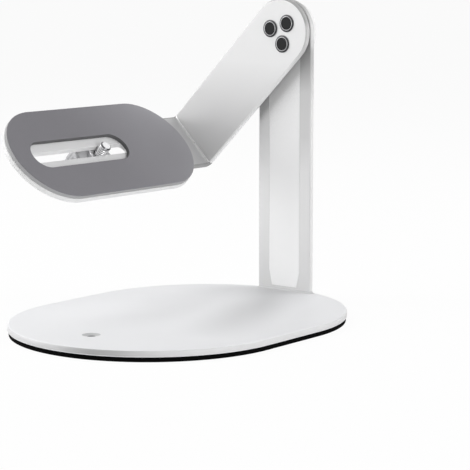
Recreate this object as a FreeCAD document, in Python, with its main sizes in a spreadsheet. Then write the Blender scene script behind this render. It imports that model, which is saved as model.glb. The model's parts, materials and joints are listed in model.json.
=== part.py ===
import FreeCAD, Part
import math
import os

import Sketcher

# Tabletop projector stand, in millimetres: a base plate on an anti-slip mat, an upright at its back,
# and an arm bent into a tray, which turns on a friction hub at the upright's head.
# +Z is up, the tray reaches towards -Y, and the origin lies under the middle of the base.

SIZES = {
    # Base
    "base_length": 200.0,
    "base_width": 155.4,
    "base_thickness": 3.5,
    "base_edge_radius": 1.0,
    "mat_thickness": 2.5,
    "mat_inset": 0.6,
    "fixing_hole_diameter": 5.0,
    "fixing_sink_diameter": 9.8,
    "fixing_sink_depth": 1.1,
    "fixing_hole_from_front": 29.0,
    # Upright, and the panel pressed into its front
    "upright_width": 37.6,
    "upright_thickness": 3.0,
    "upright_from_back": 3.6,
    "pivot_height": 150.2,
    "panel_width": 21.8,
    "panel_depth": 0.3,
    "panel_foot_gap": 2.5,
    "panel_taper": 2.0,
    "panel_taper_height": 9.0,
    "panel_hub_radius": 18.0,
    # Arm and tray, bent from one sheet
    "sheet_thickness": 3.3,
    "arm_head_width": 38.4,
    "arm_fold_width": 38.0,
    "arm_reach": 93.0,
    "fold_radius": 1.0,
    "rest_tilt": 45.0,
    "tray_length": 139.4,
    "tray_width": 62.0,
    "tray_from_arm": 9.0,
    "pad_thickness": 2.4,
    "pad_inset": 0.3,
    "pad_slot_length": 74.8,
    "pad_slot_width": 18.2,
    "pad_slot_from_end": 13.3,
    "plate_slot_length": 80.0,
    "plate_slot_width": 6.8,
    # Hub: a bush in the upright, clamped by three bolts between the arm and a disc behind
    "bush_diameter": 24.0,
    "bush_clearance": 0.05,
    "washer_diameter": 34.0,
    "washer_thickness": 1.4,
    "washer_clearance": 0.1,
    "disc_diameter": 35.0,
    "disc_thickness": 2.5,
    "bolt_count": 3,
    "bolt_circle_radius": 7.0,
    "bolt_diameter": 5.0,
    "bolt_clearance": 0.1,
    "bolt_head_diameter": 9.9,
    "bolt_head_height": 0.8,
    "cap_diameter": 7.4,
    "cap_depth": 0.5,
    "cap_clearance": 0.05,
    "nut_width": 8.0,
    "nut_height": 4.0,
    "bolt_end": 1.5,
    # Thumb screw in the tray's slot
    "screw_diameter": 6.35,
    "screw_proud": 2.0,
    "shank_diameter": 6.0,
    "screw_from_arm": 78.5,
    "screw_clearance": 0.1,
    "slide_washer_diameter": 12.0,
    "slide_washer_thickness": 3.0,
    "slide_clearance": 0.2,
    "knob_diameter": 28.0,
    "knob_height": 13.0,
    "knob_edge_radius": 1.2,
    "knob_socket_depth": 9.0,
    "flute_count": 20,
    "flute_diameter": 2.4,
}

V = FreeCAD.Vector
# How a sketch numbers the points of an element, and its own two axes
START, END, CENTRE = range(1, 4)
UPRIGHT_AXIS, LEVEL_AXIS = range(-2, 0)
ORIGIN = (LEVEL_AXIS, START)
TOUCHING = 1e-4


class Size:
    """A length from the sheet: its number today, and the expression that keeps it bound to the cells."""

    def __init__(self, number, text):
        self.number = number
        self.text = text

    def __add__(self, other):
        other = as_size(other)
        return Size(self.number + other.number, f"({self.text} + {other.text})")

    def __sub__(self, other):
        other = as_size(other)
        return Size(self.number - other.number, f"({self.text} - {other.text})")

    def __mul__(self, other):
        other = as_size(other)
        return Size(self.number * other.number, f"({self.text} * {other.text})")

    def __truediv__(self, other):
        other = as_size(other)
        return Size(self.number / other.number, f"({self.text} / {other.text})")

    def __neg__(self):
        return Size(-self.number, f"(0 - {self.text})")


def as_size(value):
    return value if isinstance(value, Size) else Size(value, str(value))


doc = FreeCAD.newDocument("projector_stand")
sheet = doc.addObject("Spreadsheet::Sheet", "Sizes")
for row, (name, value) in enumerate(SIZES.items(), 1):
    sheet.set(f"A{row}", name)
    sheet.set(f"B{row}", str(value))
    sheet.setAlias(f"B{row}", name)
doc.recompute()


def size(name):
    return Size(float(getattr(sheet, name)), f"Sizes.{name}")


# Levels and depths that several pieces share
base_top = size("mat_thickness") + size("base_thickness")
pivot_level = base_top + size("pivot_height")
upright_back = size("base_length") / 2 - size("upright_from_back")
upright_front = upright_back - size("upright_thickness")
hub_gap = size("washer_thickness") + size("washer_clearance")
arm_front = hub_gap + size("sheet_thickness")
disc_front = size("upright_thickness") + hub_gap
disc_back = disc_front + size("disc_thickness")
tray_near = arm_front + size("tray_from_arm")
tray_far = tray_near + size("tray_length")
slot_middle = tray_far - size("pad_slot_from_end") - size("pad_slot_length") / 2
screw_place = arm_front + size("screw_from_arm")
slide_washer_top = -size("sheet_thickness") - size("slide_clearance")
knob_top = slide_washer_top - size("slide_washer_thickness") - size("slide_clearance")
bolt_hole_diameter = size("bolt_diameter") + size("bolt_clearance") * 2


# Drawing helpers
def bind(thing, path, value):
    thing.setExpression(path, as_size(value).text)


def new_body(name):
    body = doc.addObject("PartDesign::Body", name)
    body.Label = name
    return body


def hang_on_pivot(body):
    """Set a body drawn with its arm straight down at the pivot, and tilt it as it stands at rest."""
    body.Placement = FreeCAD.Placement(V(0, 0, 0), FreeCAD.Rotation(V(0, 1, 0), size("rest_tilt").number))
    bind(body, "Placement.Base.y", upright_front)
    bind(body, "Placement.Base.z", pivot_level)
    bind(body, "Placement.Rotation.Angle", size("rest_tilt"))


def origin_feature(body, role):
    return next(feature for feature in body.Origin.OriginFeatures if feature.Role == role)


def new_sketch(body, name, plane, lift=0, turn=0):
    """A sketch on one of the body's own planes, lifted off it and turned about its normal."""
    sketch = body.newObject("Sketcher::SketchObject", name)
    sketch.AttachmentSupport = [(origin_feature(body, plane), "")]
    sketch.MapMode = "FlatFace"
    sketch.AttachmentOffset = FreeCAD.Placement(V(0, 0, 0), FreeCAD.Rotation(V(0, 0, 1), turn))
    bind(sketch, "AttachmentOffset.Base.z", lift)
    return sketch


def dimension(sketch, value, kind, *where):
    """A driving dimension, bound to the sheet."""
    index = sketch.addConstraint(Sketcher.Constraint(kind, *where, value.number))
    sketch.setExpression(f"Constraints[{index}]", value.text)


def set_height(sketch, element, point, level):
    """Dimension a point's height from the sketch's origin, above or below it."""
    if level.number < 0:
        dimension(sketch, -level, "DistanceY", element, point, *ORIGIN)
    else:
        dimension(sketch, level, "DistanceY", *ORIGIN, element, point)


def draw_circle(sketch, diameter, height=None):
    """A circle at the sketch's origin, or on its upright axis at a height."""
    middle = V(0, height.number if height else 0, 0)
    circle = sketch.addGeometry(Part.Circle(middle, V(0, 0, 1), diameter.number / 2))
    if height:
        sketch.addConstraint(Sketcher.Constraint("PointOnObject", circle, CENTRE, UPRIGHT_AXIS))
        set_height(sketch, circle, CENTRE, height)
    else:
        sketch.addConstraint(Sketcher.Constraint("Coincident", circle, CENTRE, *ORIGIN))
    dimension(sketch, diameter, "Diameter", circle)


def draw_hexagon(sketch, across_flats, height):
    """A hexagon on the sketch's upright axis, with two of its sides level."""
    across_corners = across_flats * (2 / math.sqrt(3))
    middle = V(0, height.number, 0)
    reach = V(across_corners.number / 2, 0, 0)
    circle = sketch.addGeometry(Part.Circle(middle, V(0, 0, 1), reach.x), True)
    corners = [middle + FreeCAD.Rotation(V(0, 0, 1), 60 * step).multVec(reach) for step in range(6)]
    sides = [
        sketch.addGeometry(Part.LineSegment(start, end))
        for start, end in zip(corners, corners[1:] + corners[:1])
    ]
    for side, following in zip(sides, sides[1:] + sides[:1]):
        sketch.addConstraint(Sketcher.Constraint("Coincident", side, END, following, START))
        sketch.addConstraint(Sketcher.Constraint("PointOnObject", side, START, circle))
    for side in sides[1:]:
        sketch.addConstraint(Sketcher.Constraint("Equal", sides[0], side))
    sketch.addConstraint(Sketcher.Constraint("Horizontal", sides[1]))
    sketch.addConstraint(Sketcher.Constraint("PointOnObject", circle, CENTRE, UPRIGHT_AXIS))
    set_height(sketch, circle, CENTRE, height)
    dimension(sketch, across_corners, "Diameter", circle)


def draw_obround(sketch, width, top, bottom):
    """An obround on the sketch's upright axis, between the heights of its two ends."""
    radius = width / 2
    top_centre = top - radius
    bottom_centre = bottom + radius
    half = radius.number
    high = top_centre.number
    low = bottom_centre.number
    top_arc = sketch.addGeometry(Part.ArcOfCircle(Part.Circle(V(0, high, 0), V(0, 0, 1), half), 0, math.pi))
    left = sketch.addGeometry(Part.LineSegment(V(-half, high, 0), V(-half, low, 0)))
    lower_circle = Part.Circle(V(0, low, 0), V(0, 0, 1), half)
    bottom_arc = sketch.addGeometry(Part.ArcOfCircle(lower_circle, math.pi, 2 * math.pi))
    right = sketch.addGeometry(Part.LineSegment(V(half, low, 0), V(half, high, 0)))
    chain = [top_arc, left, bottom_arc, right, top_arc]
    for first, second in zip(chain, chain[1:]):
        sketch.addConstraint(Sketcher.Constraint("Tangent", first, END, second, START))
    sketch.addConstraint(Sketcher.Constraint("PointOnObject", top_arc, CENTRE, UPRIGHT_AXIS))
    sketch.addConstraint(Sketcher.Constraint("PointOnObject", bottom_arc, CENTRE, UPRIGHT_AXIS))
    dimension(sketch, radius, "Radius", top_arc)
    set_height(sketch, top_arc, CENTRE, top_centre)
    set_height(sketch, bottom_arc, CENTRE, bottom_centre)


def draw_band(sketch, width, top, bottom):
    """A rectangle centred on the sketch's upright axis, between two heights."""
    half = width.number / 2
    high = top.number
    low = bottom.number
    corners = [V(-half, low, 0), V(half, low, 0), V(half, high, 0), V(-half, high, 0)]
    sides = [
        sketch.addGeometry(Part.LineSegment(start, end))
        for start, end in zip(corners, corners[1:] + corners[:1])
    ]
    for first, second in zip(sides, sides[1:] + sides[:1]):
        sketch.addConstraint(Sketcher.Constraint("Coincident", first, END, second, START))
    foot, right, head, left = sides
    sketch.addConstraint(Sketcher.Constraint("Symmetric", foot, START, foot, END, UPRIGHT_AXIS))
    sketch.addConstraint(Sketcher.Constraint("Vertical", right))
    sketch.addConstraint(Sketcher.Constraint("Horizontal", head))
    sketch.addConstraint(Sketcher.Constraint("Vertical", left))
    dimension(sketch, width, "DistanceX", foot, START, foot, END)
    set_height(sketch, head, START, top)
    set_height(sketch, foot, START, bottom)


def pad(body, sketch, depth, backwards=False, both_ways=False):
    feature = body.newObject("PartDesign::Pad", sketch.Name + "_pad")
    feature.Profile = sketch
    bind(feature, "Length", depth)
    feature.Reversed = backwards
    feature.Midplane = both_ways
    doc.recompute()
    return feature


def pocket(body, sketch, depth, both_ways=False):
    """Cut into the solid behind the sketch, and stop if the cut missed it."""
    before = body.Shape.Volume
    feature = body.newObject("PartDesign::Pocket", sketch.Name + "_cut")
    feature.Profile = sketch
    bind(feature, "Length", depth)
    feature.Midplane = both_ways
    doc.recompute()
    if body.Shape.Volume > before - TOUCHING:
        raise RuntimeError(f"{sketch.Name} cut nothing")
    return feature


def repeat_round(body, feature, axis, count):
    """Repeat a feature evenly around one of the body's axes."""
    pattern = body.newObject("PartDesign::PolarPattern", feature.Name + "_round")
    pattern.Originals = [feature]
    pattern.Axis = (origin_feature(body, axis), [""])
    pattern.Angle = 360
    bind(pattern, "Occurrences", count)
    body.Tip = pattern
    doc.recompute()
    return pattern


def edges_where(body, test):
    return [f"Edge{index}" for index, edge in enumerate(body.Shape.Edges, 1) if test(edge)]


def is_circle(edge):
    return edge.Curve.TypeId == "Part::GeomCircle"


def on_level(level):
    return lambda edge: max(abs(edge.BoundBox.ZMin - level), abs(edge.BoundBox.ZMax - level)) < TOUCHING


def dress_edges(body, kind, name, names, path, value):
    """Round or chamfer the named edges of the body as it stands."""
    solid = body.Tip
    feature = body.newObject(kind, name)
    feature.Base = (solid, names)
    bind(feature, path, value)
    doc.recompute()
    return feature


def round_edges(body, radius, names):
    dress_edges(body, "PartDesign::Fillet", body.Name + "_rounding", names, "Radius", radius)


# Stand
def make_base_plate():
    body = new_body("base_plate")
    outline = new_sketch(body, "base_outline", "XY_Plane", lift=size("mat_thickness"))
    draw_obround(outline, size("base_width"), size("base_length") / 2, -size("base_length") / 2)
    pad(body, outline, size("base_thickness"))
    top = body.Shape.BoundBox.ZMax
    round_edges(body, size("base_edge_radius"), edges_where(body, on_level(top)))
    hole = new_sketch(body, "fixing_hole", "XY_Plane", lift=base_top)
    hole_place = size("fixing_hole_from_front") - size("base_length") / 2
    draw_circle(hole, size("fixing_hole_diameter"), hole_place)
    pocket(body, hole, size("base_thickness"))

    def is_hole_mouth(edge):
        return on_level(top)(edge) and edge.BoundBox.XLength < size("fixing_sink_diameter").number

    sink = dress_edges(body, "PartDesign::Chamfer", "fixing_sink", edges_where(body, is_hole_mouth), "Size2",
                       size("fixing_sink_depth"))
    sink.ChamferType = "Two distances"
    bind(sink, "Size", (size("fixing_sink_diameter") - size("fixing_hole_diameter")) / 2)
    doc.recompute()
    return body


def make_anti_slip_mat():
    body = new_body("anti_slip_mat")
    outline = new_sketch(body, "mat_outline", "XY_Plane")
    end = size("base_length") / 2 - size("mat_inset")
    draw_obround(outline, size("base_width") - size("mat_inset") * 2, end, -end)
    hole_place = size("fixing_hole_from_front") - size("base_length") / 2
    draw_circle(outline, size("fixing_hole_diameter"), hole_place)
    pad(body, outline, size("mat_thickness"))
    return body


def make_upright():
    """A plate with a round head about the pivot, and a shallow panel down its front."""
    body = new_body("upright")
    outline = new_sketch(body, "upright_outline", "XZ_Plane", lift=-upright_front)
    half = size("upright_width").number / 2
    foot = base_top.number
    head = pivot_level.number
    arc = outline.addGeometry(Part.ArcOfCircle(Part.Circle(V(0, head, 0), V(0, 0, 1), half), 0, math.pi))
    left = outline.addGeometry(Part.LineSegment(V(-half, head, 0), V(-half, foot, 0)))
    bottom = outline.addGeometry(Part.LineSegment(V(-half, foot, 0), V(half, foot, 0)))
    right = outline.addGeometry(Part.LineSegment(V(half, foot, 0), V(half, head, 0)))
    outline.addConstraint(Sketcher.Constraint("Tangent", arc, END, left, START))
    outline.addConstraint(Sketcher.Constraint("Coincident", left, END, bottom, START))
    outline.addConstraint(Sketcher.Constraint("Coincident", bottom, END, right, START))
    outline.addConstraint(Sketcher.Constraint("Tangent", right, END, arc, START))
    outline.addConstraint(Sketcher.Constraint("Vertical", left))
    outline.addConstraint(Sketcher.Constraint("Horizontal", bottom))
    outline.addConstraint(Sketcher.Constraint("PointOnObject", arc, CENTRE, UPRIGHT_AXIS))
    dimension(outline, size("upright_width") / 2, "Radius", arc)
    set_height(outline, arc, CENTRE, pivot_level)
    set_height(outline, bottom, START, base_top)
    draw_circle(outline, size("bush_diameter") + size("bush_clearance") * 2, pivot_level)
    pad(body, outline, size("upright_thickness"), backwards=True)
    pocket(body, draw_panel(body), size("panel_depth"))
    return body


def draw_panel(body):
    """The panel's outline: straight sides, a narrowing foot, and a top that keeps clear of the hub."""
    sketch = new_sketch(body, "panel_outline", "XZ_Plane", lift=-upright_front)
    foot_width = size("panel_width") - size("panel_taper") * 2
    foot_level = base_top + size("panel_foot_gap")
    taper_level = foot_level + size("panel_taper_height")
    half = size("panel_width").number / 2
    narrow = foot_width.number / 2
    radius = size("panel_hub_radius").number
    centre = pivot_level.number
    lean = math.asin(half / radius)
    top_level = centre - radius * math.cos(lean)
    points = [
        V(-half, top_level, 0),
        V(-half, taper_level.number, 0),
        V(-narrow, foot_level.number, 0),
        V(narrow, foot_level.number, 0),
        V(half, taper_level.number, 0),
        V(half, top_level, 0),
    ]
    lines = [sketch.addGeometry(Part.LineSegment(a, b)) for a, b in zip(points, points[1:])]
    for first, second in zip(lines, lines[1:]):
        sketch.addConstraint(Sketcher.Constraint("Coincident", first, END, second, START))
    left, left_taper, foot, right_taper, right = lines
    down = 1.5 * math.pi
    hub_circle = Part.Circle(V(0, centre, 0), V(0, 0, 1), radius)
    arc = sketch.addGeometry(Part.ArcOfCircle(hub_circle, down - lean, down + lean))
    sketch.addConstraint(Sketcher.Constraint("Coincident", arc, START, left, START))
    sketch.addConstraint(Sketcher.Constraint("Coincident", arc, END, right, END))
    sketch.addConstraint(Sketcher.Constraint("Vertical", left))
    sketch.addConstraint(Sketcher.Constraint("Vertical", right))
    sketch.addConstraint(Sketcher.Constraint("Symmetric", foot, START, foot, END, UPRIGHT_AXIS))
    sketch.addConstraint(Sketcher.Constraint("Symmetric", left, END, right, START, UPRIGHT_AXIS))
    sketch.addConstraint(Sketcher.Constraint("PointOnObject", arc, CENTRE, UPRIGHT_AXIS))
    dimension(sketch, size("panel_hub_radius"), "Radius", arc)
    set_height(sketch, arc, CENTRE, pivot_level)
    set_height(sketch, foot, START, foot_level)
    set_height(sketch, left, END, taper_level)
    dimension(sketch, foot_width, "DistanceX", foot, START, foot, END)
    dimension(sketch, size("panel_width"), "DistanceX", left, END, right, START)
    return sketch


# Arm and tray, drawn with the arm straight down from the pivot and the tray level
def make_arm_and_tray():
    body = new_body("arm_and_tray")
    hang_on_pivot(body)
    pad(body, draw_arm(body), size("sheet_thickness"))
    pad(body, draw_fold(body), size("arm_fold_width"), both_ways=True)
    tray = new_sketch(body, "tray_outline", "XY_Plane", lift=-size("arm_reach"))
    draw_obround(tray, size("tray_width"), -tray_near, -tray_far)
    pad(body, tray, size("sheet_thickness"), backwards=True)
    neck = new_sketch(body, "tray_neck", "XY_Plane", lift=-size("arm_reach"))
    neck_end = tray_near + size("tray_width") / 2
    draw_band(neck, size("arm_fold_width"), -(arm_front + size("fold_radius")), -neck_end)
    pad(body, neck, size("sheet_thickness"), backwards=True)
    slot = new_sketch(body, "plate_slot", "XY_Plane", lift=-size("arm_reach"))
    slot_half = size("plate_slot_length") / 2
    draw_obround(slot, size("plate_slot_width"), slot_half - slot_middle, -(slot_middle + slot_half))
    pocket(body, slot, size("sheet_thickness"))
    cut_bolt_holes(body, arm_front, size("sheet_thickness"))
    return body


def draw_arm(body):
    """The arm's face: round about the pivot, narrowing to the fold."""
    sketch = new_sketch(body, "arm_outline", "XZ_Plane", lift=hub_gap)
    half = size("arm_head_width").number / 2
    narrow = size("arm_fold_width").number / 2
    fold_level = size("fold_radius") - size("arm_reach")
    low = fold_level.number
    arc = sketch.addGeometry(Part.ArcOfCircle(Part.Circle(V(0, 0, 0), V(0, 0, 1), half), 0, math.pi))
    left = sketch.addGeometry(Part.LineSegment(V(-half, 0, 0), V(-narrow, low, 0)))
    fold = sketch.addGeometry(Part.LineSegment(V(-narrow, low, 0), V(narrow, low, 0)))
    right = sketch.addGeometry(Part.LineSegment(V(narrow, low, 0), V(half, 0, 0)))
    sketch.addConstraint(Sketcher.Constraint("Coincident", arc, CENTRE, *ORIGIN))
    sketch.addConstraint(Sketcher.Constraint("Tangent", arc, END, left, START))
    sketch.addConstraint(Sketcher.Constraint("Coincident", left, END, fold, START))
    sketch.addConstraint(Sketcher.Constraint("Coincident", fold, END, right, START))
    sketch.addConstraint(Sketcher.Constraint("Tangent", right, END, arc, START))
    sketch.addConstraint(Sketcher.Constraint("Symmetric", fold, START, fold, END, UPRIGHT_AXIS))
    dimension(sketch, size("arm_head_width") / 2, "Radius", arc)
    dimension(sketch, size("arm_fold_width"), "DistanceX", fold, START, fold, END)
    set_height(sketch, fold, START, fold_level)
    return sketch


def draw_fold(body):
    """The bend's section: a quarter ring between the arm's foot and the tray's neck."""
    sketch = new_sketch(body, "fold_section", "YZ_Plane")
    inner = size("fold_radius")
    outer = inner + size("sheet_thickness")
    across = -(arm_front + inner)
    level = inner - size("arm_reach")
    centre = V(across.number, level.number, 0)
    down = -math.pi / 2
    arcs = [
        sketch.addGeometry(Part.ArcOfCircle(Part.Circle(centre, V(0, 0, 1), radius.number), down, 0))
        for radius in (inner, outer)
    ]
    inside, outside = arcs
    foot = sketch.addGeometry(
        Part.LineSegment(centre - V(0, inner.number, 0), centre - V(0, outer.number, 0))
    )
    side = sketch.addGeometry(
        Part.LineSegment(centre + V(inner.number, 0, 0), centre + V(outer.number, 0, 0))
    )
    for arc, end in [(inside, START), (outside, END)]:
        sketch.addConstraint(Sketcher.Constraint("Coincident", arc, START, foot, end))
        sketch.addConstraint(Sketcher.Constraint("Coincident", arc, END, side, end))
    sketch.addConstraint(Sketcher.Constraint("Coincident", inside, CENTRE, outside, CENTRE))
    sketch.addConstraint(Sketcher.Constraint("Vertical", foot))
    sketch.addConstraint(Sketcher.Constraint("Horizontal", side))
    sketch.addConstraint(Sketcher.Constraint("Vertical", inside, START, inside, CENTRE))
    sketch.addConstraint(Sketcher.Constraint("Horizontal", inside, END, inside, CENTRE))
    dimension(sketch, inner, "Radius", inside)
    dimension(sketch, outer, "Radius", outside)
    dimension(sketch, -across, "DistanceX", inside, CENTRE, *ORIGIN)
    set_height(sketch, inside, CENTRE, level)
    return sketch


def cut_bolt_holes(body, front, depth):
    """One bolt hole, and its copies around the pivot; front is how far the face lies ahead of the upright."""
    hole = new_sketch(body, body.Name + "_bolt_hole", "XZ_Plane", lift=front)
    draw_circle(hole, bolt_hole_diameter, size("bolt_circle_radius"))
    repeat_round(body, pocket(body, hole, depth), "Y_Axis", size("bolt_count"))


def make_tray_pad():
    body = new_body("tray_pad")
    hang_on_pivot(body)
    outline = new_sketch(body, "pad_outline", "XY_Plane", lift=-size("arm_reach"))
    inset = size("pad_inset")
    draw_obround(outline, size("tray_width") - inset * 2, -(tray_near + inset), inset - tray_far)
    slot_half = size("pad_slot_length") / 2
    draw_obround(outline, size("pad_slot_width"), slot_half - slot_middle, -(slot_middle + slot_half))
    pad(body, outline, size("pad_thickness"))
    return body


# Hub, turning with the arm
def make_ring(name, front, thickness, outer, inner=None):
    """A round piece on the pivot; front is how far its front face lies ahead of the upright's front."""
    body = new_body(name)
    hang_on_pivot(body)
    section = new_sketch(body, name + "_section", "XZ_Plane", lift=front)
    draw_circle(section, outer)
    if inner:
        draw_circle(section, inner)
    pad(body, section, thickness, backwards=True)
    return body


def make_hub():
    bush_bore = size("bush_diameter") + size("bush_clearance") * 2
    washer = (size("washer_diameter"), bush_bore)
    make_ring("front_friction_washer", hub_gap, size("washer_thickness"), *washer)
    make_ring("back_friction_washer", -(size("upright_thickness") + size("washer_clearance")),
              size("washer_thickness"), *washer)
    bush_length = hub_gap + disc_front
    bush = make_ring("pivot_bush", hub_gap, bush_length, size("bush_diameter"))
    cut_bolt_holes(bush, hub_gap, bush_length)
    disc = make_ring("back_disc", -disc_front, size("disc_thickness"), size("disc_diameter"))
    cut_bolt_holes(disc, -disc_front, size("disc_thickness"))


def add_bolt_step(body, name, turn, front, depth, diameter, cut=False):
    sketch = new_sketch(body, name, "XZ_Plane", lift=front, turn=turn)
    draw_circle(sketch, diameter, size("bolt_circle_radius"))
    if cut:
        pocket(body, sketch, depth)
    else:
        pad(body, sketch, depth, backwards=True)
    return sketch


def make_bolt(number, turn):
    """A bolt through the hub: its head with a sunk cap in front, and its nut behind the disc."""
    head_front = arm_front + size("bolt_head_height")
    shank_length = arm_front + disc_back + size("nut_height") + size("bolt_end")
    bolt = new_body(f"bolt_{number}")
    hang_on_pivot(bolt)
    add_bolt_step(bolt, f"bolt_head_{number}", turn, head_front, size("bolt_head_height"),
                  size("bolt_head_diameter"))
    add_bolt_step(bolt, f"bolt_shank_{number}", turn, arm_front, shank_length, size("bolt_diameter"))
    recess = size("cap_diameter") + size("cap_clearance") * 2
    add_bolt_step(bolt, f"bolt_recess_{number}", turn, head_front, size("cap_depth"), recess, cut=True)
    cap = new_body(f"bolt_cap_{number}")
    hang_on_pivot(cap)
    add_bolt_step(cap, f"cap_face_{number}", turn, head_front, size("cap_depth"), size("cap_diameter"))
    nut = new_body(f"bolt_nut_{number}")
    hang_on_pivot(nut)
    section = new_sketch(nut, f"nut_section_{number}", "XZ_Plane", lift=-disc_back, turn=turn)
    draw_hexagon(section, size("nut_width"), size("bolt_circle_radius"))
    draw_circle(section, bolt_hole_diameter, size("bolt_circle_radius"))
    pad(nut, section, size("nut_height"), backwards=True)


# Thumb screw, standing up through the tray's slot and drawn about its own axis from the tray's top
def hang_on_tray(body):
    tilt = size("rest_tilt")
    sine = Size(math.sin(math.radians(tilt.number)), f"sin({tilt.text} * 1 deg)")
    cosine = Size(math.cos(math.radians(tilt.number)), f"cos({tilt.text} * 1 deg)")
    body.Placement = FreeCAD.Placement(V(0, 0, 0), FreeCAD.Rotation(V(0, 1, 0), tilt.number))
    bind(body, "Placement.Base.x", -size("arm_reach") * sine)
    bind(body, "Placement.Base.y", upright_front - screw_place)
    bind(body, "Placement.Base.z", pivot_level - size("arm_reach") * cosine)
    bind(body, "Placement.Rotation.Angle", tilt)


def make_screw_piece(name, top, depth, diameter, hole=None):
    """A round piece on the screw's axis, from its top level downwards."""
    body = new_body(name)
    hang_on_tray(body)
    section = new_sketch(body, name + "_section", "XY_Plane", lift=top)
    draw_circle(section, diameter)
    if hole:
        draw_circle(section, hole)
    pad(body, section, depth, backwards=True)
    return body


def make_thumb_screw():
    hole = size("screw_diameter") + size("screw_clearance") * 2
    make_screw_piece("slide_washer", slide_washer_top, size("slide_washer_thickness"),
                     size("slide_washer_diameter"), hole)
    thread_length = size("pad_thickness") + size("screw_proud")
    stud = make_screw_piece("screw_stud", thread_length, thread_length, size("screw_diameter"))
    shank = new_sketch(stud, "stud_shank", "XY_Plane")
    draw_circle(shank, size("shank_diameter"))
    pad(stud, shank, size("knob_socket_depth") - knob_top, backwards=True)
    knob = make_screw_piece("thumb_knob", knob_top, size("knob_height"), size("knob_diameter"))
    round_edges(knob, size("knob_edge_radius"), edges_where(knob, is_circle))
    socket = new_sketch(knob, "knob_socket", "XY_Plane", lift=knob_top)
    draw_circle(socket, size("shank_diameter") + size("screw_clearance") * 2)
    pocket(knob, socket, size("knob_socket_depth"))
    flute = new_sketch(knob, "knob_flute", "XY_Plane", lift=knob_top)
    draw_circle(flute, size("flute_diameter"), size("knob_diameter") / 2)
    repeat_round(knob, pocket(knob, flute, size("knob_height")), "Z_Axis", size("flute_count"))


make_base_plate()
make_anti_slip_mat()
make_upright()
make_arm_and_tray()
make_tray_pad()
make_hub()
for number in range(1, SIZES["bolt_count"] + 1):
    make_bolt(number, (number - 1) * 360 / SIZES["bolt_count"])
make_thumb_screw()
doc.recompute()

# Check every piece, then write each one to its own file
for item in doc.Objects:
    if "Invalid" in item.State or "Error" in item.State:
        raise RuntimeError(f"{item.Label} failed: {item.State}")
pieces = [item for item in doc.Objects if item.TypeId == "PartDesign::Body"]
for piece in pieces:
    if piece.Shape.isNull() or not piece.Shape.isValid() or len(piece.Shape.Solids) != 1:
        raise RuntimeError(f"{piece.Label} is not one sound solid")
os.makedirs("parts", exist_ok=True)
for piece in pieces:
    piece.Shape.exportStep(f"parts/{piece.Label}.step")
    box = piece.Shape.BoundBox
    print(f"{piece.Label}: {piece.Shape.Volume / 1000:.2f} cm3, z {box.ZMin:.1f} to {box.ZMax:.1f}")
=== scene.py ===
import json
import math

import bmesh
import bpy
from mathutils import Matrix, Vector


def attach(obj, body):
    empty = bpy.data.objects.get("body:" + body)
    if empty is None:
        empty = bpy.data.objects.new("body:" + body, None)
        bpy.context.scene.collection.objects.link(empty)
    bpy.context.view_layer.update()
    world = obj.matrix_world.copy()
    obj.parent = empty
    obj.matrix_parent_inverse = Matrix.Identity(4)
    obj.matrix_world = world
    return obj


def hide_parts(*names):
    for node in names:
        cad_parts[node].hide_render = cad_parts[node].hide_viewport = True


# Tabletop projector stand: an obround base on a black mat, an upright at its back, and an arm bent
# into a padded tray, which turns on a hub with three plugged bolts. Shapes are drawn in millimetres
# and placed in the frame's metres.

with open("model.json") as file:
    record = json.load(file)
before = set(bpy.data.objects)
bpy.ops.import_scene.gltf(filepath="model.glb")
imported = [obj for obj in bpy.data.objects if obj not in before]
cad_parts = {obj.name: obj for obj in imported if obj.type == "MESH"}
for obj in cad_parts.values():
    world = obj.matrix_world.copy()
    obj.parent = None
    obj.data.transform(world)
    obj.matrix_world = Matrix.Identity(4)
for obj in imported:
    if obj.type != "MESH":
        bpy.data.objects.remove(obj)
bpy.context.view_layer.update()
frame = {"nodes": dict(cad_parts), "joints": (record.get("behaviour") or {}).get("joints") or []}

MM = 0.001
joints = {joint["name"]: joint for joint in frame["joints"]}

# Where the arm hangs: its own frame has the pivot at the origin, the arm down -Z and the tray along -Y
pivot = Vector(joints["arm_tilt"]["pos_m"])
tray_up = Vector(joints["screw_turn"]["axis"])
rest_tilt = Matrix.Rotation(math.atan2(tray_up.x, tray_up.z), 4, "Y")
arm_frame = Matrix.Translation(pivot) @ rest_tilt
screw_frame = Matrix.Translation(joints["screw_turn"]["pos_m"]) @ rest_tilt
# Turns a plate drawn flat, front face up, so that it stands and faces -Y
standing = Matrix(((1, 0, 0, 0), (0, 0, -1, 0), (0, 1, 0, 0), (0, 0, 0, 1)))
# Hub pieces are drawn around the pivot, with levels ahead of the upright's front
hub_frame = arm_frame @ standing


def box_in(node, place=Matrix.Identity(4)):
    """A node's lowest and highest corners in a frame of its own, in millimetres."""
    back = place.inverted()
    points = [(back @ vertex.co) / MM for vertex in frame["nodes"][node].data.vertices]
    low = Vector([min(point[axis] for point in points) for axis in range(3)])
    high = Vector([max(point[axis] for point in points) for axis in range(3)])
    return low, high


def lifted(place, level):
    """A frame moved along its own upright axis by a level in millimetres."""
    return place @ Matrix.Translation((0, 0, level * MM))


base_low, base_high = box_in("base_plate")
mat_low, mat_high = box_in("anti_slip_mat")
upright_low, upright_high = box_in("upright")
sheet_low, sheet_high = box_in("arm_and_tray", arm_frame)
pad_low, pad_high = box_in("tray_pad", arm_frame)

# How far the arm's round head stays inside its solid
HEAD_INSET = 0.02

# Sizes that the boxes of the nodes give
base_thickness = base_high.z - base_low.z
mat_thickness = mat_high.z - mat_low.z
upright_thickness = upright_high.y - upright_low.y
upright_half = upright_high.x
pivot_level = pivot.z / MM
arm_reach = -pad_low.z
sheet = pad_low.z - sheet_low.z
arm_back = -sheet_high.y
arm_front = arm_back + sheet
head_radius = sheet_high.z - HEAD_INSET
tray_radius = sheet_high.x
tray_far = -sheet_low.y
pad_thickness = pad_high.z - pad_low.z

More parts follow.
